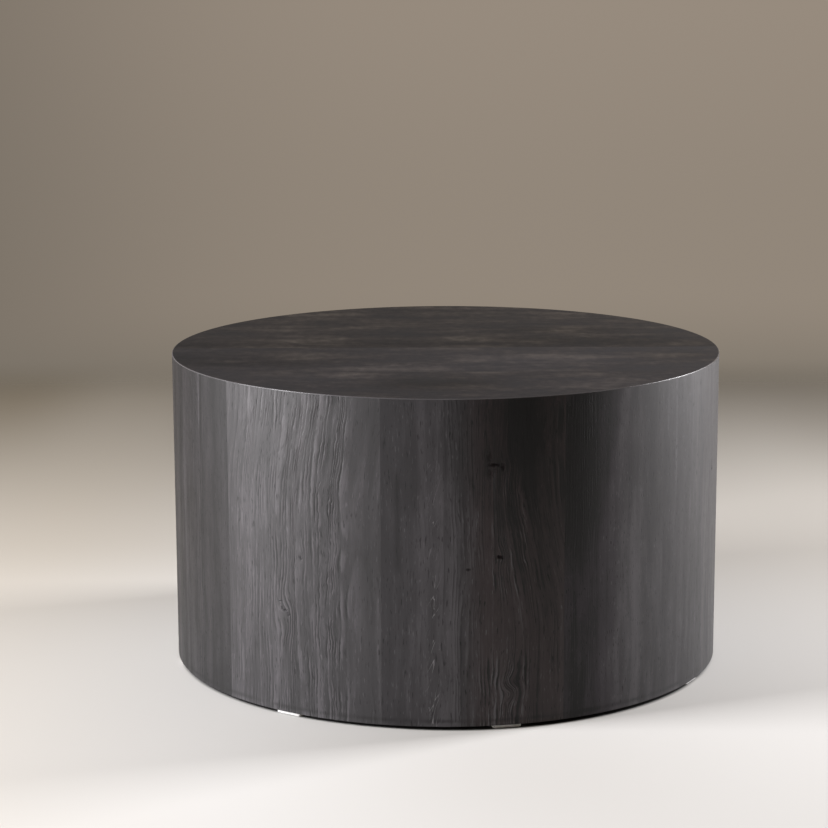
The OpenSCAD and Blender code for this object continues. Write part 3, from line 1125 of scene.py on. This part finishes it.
# From the front strip to the back one
TOP_LEAVES = [
    top_cut(heart=40, depth=10, taper=0.02, ring=4.5, sway=0.9, tone=0.02, seed=101, gloss=0.46, hue=ALL_COOL,
            figured=[Zone(0, 60, 60, 0.2)],
            # The streaks at 60 and 10 across are a painted reflection and painted shade of a bowl that isn't
            # built
            streaks=[Streak(60, 30, 0.10, -230, -90, end=60), Streak(10, 44, -0.36, -90, 60, end=50),
                     Streak(10, 60, 0.16, 140, end=60)]),
    top_cut(heart=-160, depth=20, taper=0.01, ring=4, sway=0.8, tone=0.08, seed=113, gloss=0.45, hue=ALL_COOL,
            figured=[Zone(-40, 30, 30, 0.2)],
            streaks=[Streak(0, 42, 0.20, 20, 240, end=70), Streak(-70, 30, 0.14, high=180, end=80),
                     Streak(0, 110, -0.26, high=-150, end=110, dull=0.22),
                     Streak(30, 50, -0.20, 300, end=60, dull=0.06),
                     Streak(-40, 30, -0.10, high=-180, end=60)]),
    top_cut(heart=20, depth=12, taper=-0.02, ring=4.5, sway=0.9, tone=-0.12, seed=127, gloss=0.36,
            figured=[Zone(0, 60, 60, 0.2)],
            streaks=[Streak(-30, 42, -0.20, 60, 320, end=60),
                     Streak(54, 30, -0.20, 80, 280, end=60, dull=0.06), Streak(-70, 40, -0.12, dull=0.10)]),
    top_cut(heart=190, depth=25, taper=0.01, ring=4, sway=0.8, tone=-0.14, seed=131, gloss=0.35,
            figured=[Zone(50, 40, 30, 0.2)]),
]

for i, look in enumerate(SIDE_LEAVES, 1):
    name = f"side_veneer_{i}"
    dress(side_leaf(nodes[name]), name, oak(f"oak_side_{i}", look))
for i, look in enumerate(TOP_LEAVES, 1):
    name = f"top_veneer_{i}"
    dress(top_leaf(nodes[name]), name, oak(f"oak_top_{i}", look))
for name in PADS:
    dress(felt_pad(nodes[name]), name, FELT)
for name in SCREW_NODES:
    dress(screws(nodes[name]), name, ZINC)


# Floor, backdrop, light and camera

FLOOR_NEAR = rgb(0.750, 0.747, 0.722)
FLOOR_MID = rgb(0.560, 0.541, 0.500)
FLOOR_FAR = rgb(0.155, 0.139, 0.111)
# Darker and warmer paint on the left, a painted shade
FLOOR_WARM = rgb(0.480, 0.385, 0.235)
FLOOR_CENTRE = -0.6
FLOOR_HALF = 3.2
FLOOR_ROUGH = 0.7
FLOOR_GLOSS = 0.15

# Where the floor's paint changes, in metres: each ramp's start and end, and its shares there
NEAR_TO_MID = (0.55, 1.3)
MID_TO_FAR = (0.85, 3.1)
WARM_LEFT = (-0.75, -0.25, 0.22, 0.0)
BACK = (0.8, 1.8)
BACK_LEFT = (-0.97, -0.70, -0.62, -0.40)
BACK_LEFT_SHARE = 0.22
BACK_RIGHT = (0.65, 0.90, 0.0, 0.30)
FRONT = (-0.8, -0.45, 1.0, 0.0)
FRONT_SHARE = (-0.60, 0.0, 0.07, 0.02)
ASIDE = (0.95, 1.8, 0.0, 0.75)
FADE_OUT = (2.5, 3.1)
SPOT_X = 0.10
SPOT_Y = -0.55
SPOT_TIGHT = 3.6
SPOT_SHARE = 0.35

# The shadow painted under the drum, in metres: its edge from the wall, and how far it shows ahead on the
# right
UNDER_INSIDE = 0.009
UNDER_OUTSIDE = 0.001
UNDER_DARK = 0.97
CONTACT_SHADOW = 0.0045
SHADOW_RIGHT = (-0.12, 0.05)
SHADOW_AHEAD = (-0.35, -0.10, 1.0, 0.0)


def floor_colour(g, px, py, reach):
    """Paint that darkens away from the drum, more so at the back and the sides, and is warmer on the left.
    Painted light makes it lighter near the drum and at the back left, and painted shade makes it darker on
    the left, at the back right, in front and in a spot ahead of the drum.
    """
    behind = g.ramp(py, *BACK)
    spot = g.bell(g.mul(g.sub(px, SPOT_X), SPOT_TIGHT), g.mul(g.sub(py, SPOT_Y), SPOT_TIGHT))
    coats = [
        (g.ramp(reach, *NEAR_TO_MID), FLOOR_MID),
        (g.ramp(reach, *MID_TO_FAR), FLOOR_FAR),
        (g.ramp(px, *WARM_LEFT), FLOOR_WARM),
        (g.mul(g.pulse(px, *BACK_LEFT), behind, BACK_LEFT_SHARE), FLOOR_MID),
        (g.mul(g.ramp(px, *BACK_RIGHT), behind), FLOOR_FAR),
        (g.mul(g.ramp(px, *FRONT_SHARE), g.ramp(py, *FRONT)), FLOOR_FAR),
        (g.ramp(g.math("ABSOLUTE", px), *ASIDE), FLOOR_FAR),
        (g.mul(spot, SPOT_SHARE), FLOOR_MID),
    ]
    paint = FLOOR_NEAR
    for share, coat in coats:
        paint = g.mix(share, paint, coat)
    return paint


def painted_shadow_under_drum(g, position, px, py):
    """Share of the shadow painted dark under the drum."""
    radius = g.node("VectorMath", operation="LENGTH")
    g.feed(radius.inputs[0], position)
    shown = g.mul(g.ramp(px, *SHADOW_RIGHT), g.ramp(py, *SHADOW_AHEAD))
    reached = g.madd(shown, -CONTACT_SHADOW, radius.outputs["Value"])
    return g.ramp(reached, DRUM_R - UNDER_INSIDE, DRUM_R + UNDER_OUTSIDE, UNDER_DARK, 0.0)


def floor_paint():
    g = Graph("floor_paint")
    geometry = g.node("NewGeometry")
    position = geometry.outputs["Position"]
    px, py, _ = g.split(position)
    ahead = g.sub(py, FLOOR_CENTRE)
    reach = g.math("POWER", g.add(g.math("POWER", g.math("ABSOLUTE", px), 4.0),
                                  g.math("POWER", g.math("ABSOLUTE", ahead), 4.0)), 0.25)
    painted_shadow = painted_shadow_under_drum(g, position, px, py)
    # Under the drum the floor is painted black, a painted shadow
    g.give("Base Color", g.mix(painted_shadow, floor_colour(g, px, py, reach), BLACK_PAINT_AND_SHADOW))
    g.give("Roughness", FLOOR_ROUGH)
    g.give("Specular IOR Level", FLOOR_GLOSS)
    seen = g.node("LightPath").outputs["Is Camera Ray"]
    seen_from_below = g.mul(geometry.outputs["Backfacing"], seen)
    open_below = g.mul(g.math("GREATER_THAN", painted_shadow, 0.5), g.sub(1.0, seen))
    clear = g.math("MAXIMUM", g.ramp(reach, *FADE_OUT), g.math("MAXIMUM", seen_from_below, open_below))
    g.give("Alpha", g.sub(1.0, clear))
    return g.material


def studio_floor():
    """A pale floor that fades into the backdrop and doesn't show from below. Under the drum a shadow is
    painted dark on it, and only light from below passes."""
    low = FLOOR_CENTRE - FLOOR_HALF
    high = FLOOR_CENTRE + FLOOR_HALF
    x = FLOOR_HALF
    corners = [(-x, low, 0.0), (x, low, 0.0), (x, high, 0.0), (-x, high, 0.0)]
    mesh = bpy.data.meshes.new("studio_floor")
    mesh.from_pydata(corners, [], [(0, 1, 2, 3)])
    mesh.materials.append(floor_paint())
    floor = link(mesh, "studio_floor")


BACKDROP_LOW = rgb(0.185, 0.165, 0.134)
BACKDROP_HIGH = rgb(0.312, 0.260, 0.210)
# The colour of the painted shade on the backdrop
BACKDROP_PAINTED_SHADE = rgb(0.110, 0.098, 0.080)

# Ramps over the parts of a direction: its X, its Y away from the front, and its Z
WALL_RISE = (-0.20, -0.145, 0.0, 0.80)
WALL_GLOW = (-0.12, -0.01, 0.0, 0.20)
AHEAD = (-0.1, 0.5)
AHEAD_DIM = 0.75
OVERHEAD = (0.15, 0.6)
OVERHEAD_DIM = 0.46
CORNER_X = -0.23
CORNER_HALF = 0.13
CORNER_BACK = (0.0, 0.5)
CORNER_RISE = (-0.195, -0.145, 0.25, 0.56)


def backdrop():
    """The studio behind the floor, a little lighter higher up, with painted shade at the back a little to the
    left.
    What lights the drum from overhead and from in front is darker than what the camera sees."""
    world = bpy.data.worlds.new("backdrop")
    bpy.context.scene.world = world
    g = Graph("backdrop", world)
    x, y, z = g.split(g.node("TexCoord").outputs["Generated"])
    wall = g.add(g.ramp(z, *WALL_RISE), g.ramp(z, *WALL_GLOW))
    # A patch of painted shade on the backdrop, at the back a little to the left
    corner = g.mul(g.bell(g.mul(g.sub(x, CORNER_X), 1.0 / CORNER_HALF)), g.ramp(y, *CORNER_BACK),
                   g.ramp(z, *CORNER_RISE))
    paper = g.mix(corner, g.mix(wall, BACKDROP_LOW, BACKDROP_HIGH), BACKDROP_PAINTED_SHADE)
    overhead = g.ramp(z, *OVERHEAD)
    ahead = g.mul(g.ramp(g.mul(y, -1.0), *AHEAD), g.sub(1.0, overhead))
    dim = g.mul(g.sub(1.0, g.mul(ahead, AHEAD_DIM)), g.sub(1.0, g.mul(overhead, OVERHEAD_DIM)))
    g.give("Color", paper)
    g.give("Strength", g.math("MAXIMUM", dim, g.node("LightPath").outputs["Is Camera Ray"]))


LAMP_WHITE = (1.0, 0.984, 1.014)
LAMP_AIM = Vector((0.0, 0.0, 0.25))


def softbox(name, azimuth, distance, height, size, power):
    """A rectangular lamp at an azimuth in degrees from the front, facing the drum."""
    data = bpy.data.lights.new(name, "AREA")
    data.shape = "RECTANGLE"
    data.size, data.size_y = size
    data.energy = power
    data.color = LAMP_WHITE
    lamp = link(data, name)
    a = math.radians(azimuth)
    lamp.location = (distance * math.sin(a), -distance * math.cos(a), height)
    lamp.rotation_euler = (LAMP_AIM - lamp.location).to_track_quat("-Z", "Y").to_euler()
    lamp.visible_camera = False


# The camera, as fitted to the photograph: place in metres, angles in degrees, focal length in image widths
CAMERA_AT = (-0.0463, -3.5724, 1.0679)
CAMERA_PITCH = -11.280
CAMERA_ROLL = -0.214
FOCAL_WIDTHS = 2464.3 / 828
SENSOR = 36.0
CLIP_END = 50.0


def camera():
    data = bpy.data.cameras.new("camera")
    data.sensor_width = SENSOR
    data.lens = FOCAL_WIDTHS * SENSOR
    data.clip_end = CLIP_END
    cam = link(data, "camera")
    tilt = Matrix.Rotation(math.radians(90.0 + CAMERA_PITCH), 4, "X")
    roll = Matrix.Rotation(math.radians(CAMERA_ROLL), 4, "Z")
    cam.matrix_world = Matrix.Translation(CAMERA_AT) @ tilt @ roll
    bpy.context.scene.camera = cam


studio_floor()
backdrop()
softbox("left_box", azimuth=-72.0, distance=3.2, height=1.16, size=(1.30, 1.90), power=220.0)
softbox("right_box", azimuth=107.0, distance=3.2, height=1.22, size=(0.87, 1.90), power=178.0)
camera()
bpy.context.scene.view_settings.view_transform = "Standard"
